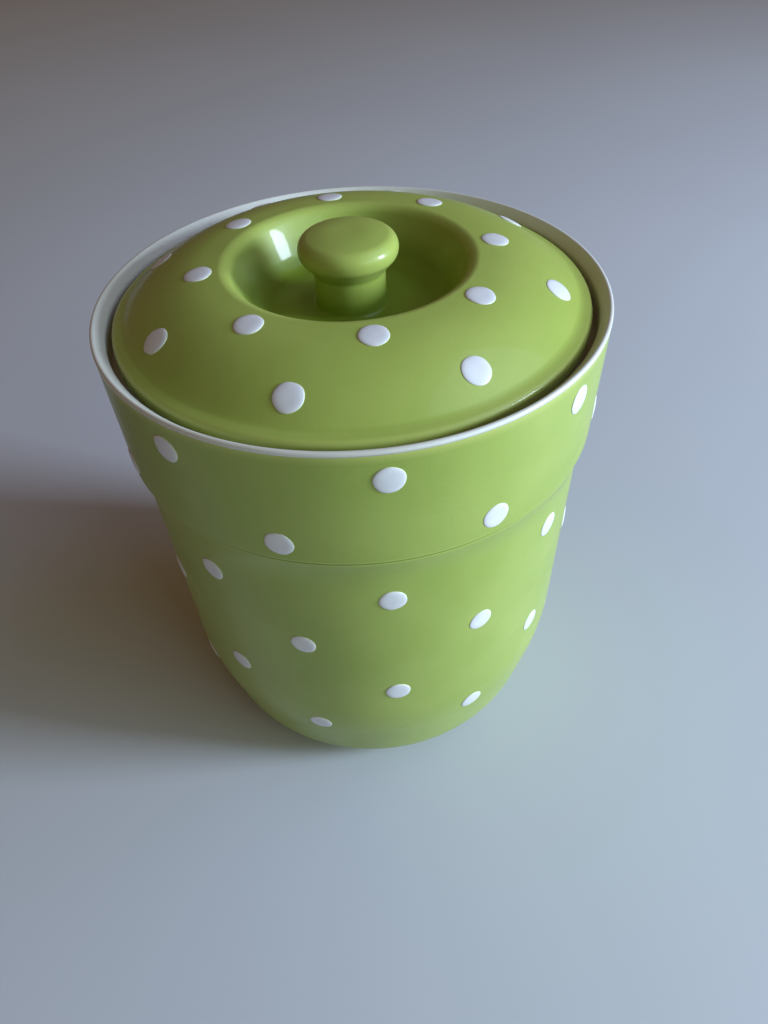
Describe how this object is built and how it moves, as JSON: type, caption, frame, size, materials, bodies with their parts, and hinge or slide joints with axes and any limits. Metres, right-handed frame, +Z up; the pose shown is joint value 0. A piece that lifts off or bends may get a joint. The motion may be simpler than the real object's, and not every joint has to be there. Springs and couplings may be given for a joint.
{
  "type": "biscuit jar",
  "caption": "Round glazed stoneware biscuit jar with a stepped collar, a sunken loose lid with a knob in its dish, and raised white dots on green glaze.",
  "frame": {"origin": "centre of the circle the jar stands on", "axes": "+Z up along the jar's axis, -Y towards the side seen in the picture, +X to its right"},
  "size_m": [0.1734, 0.1734, 0.2127],
  "materials": {
    "white_ware": "gloss",
    "green_glaze": "gloss",
    "white_slip": "gloss"
  },
  "bodies": {
    "jar": {"jar_body": "white_ware", "jar_glaze": "green_glaze", "jar_dots": "white_slip"},
    "lid": {"lid_body": "white_ware", "lid_knob": "white_ware", "knob_luting_ring": "white_ware", "lid_glaze": "green_glaze", "lid_dots": "white_slip"}
  },
  "joints": [
    {"name": "lid_lift", "type": "slide", "parent": "jar", "child": "lid", "axis": [0, 0, 1], "range_m": [0, 0.06]}
  ]
}
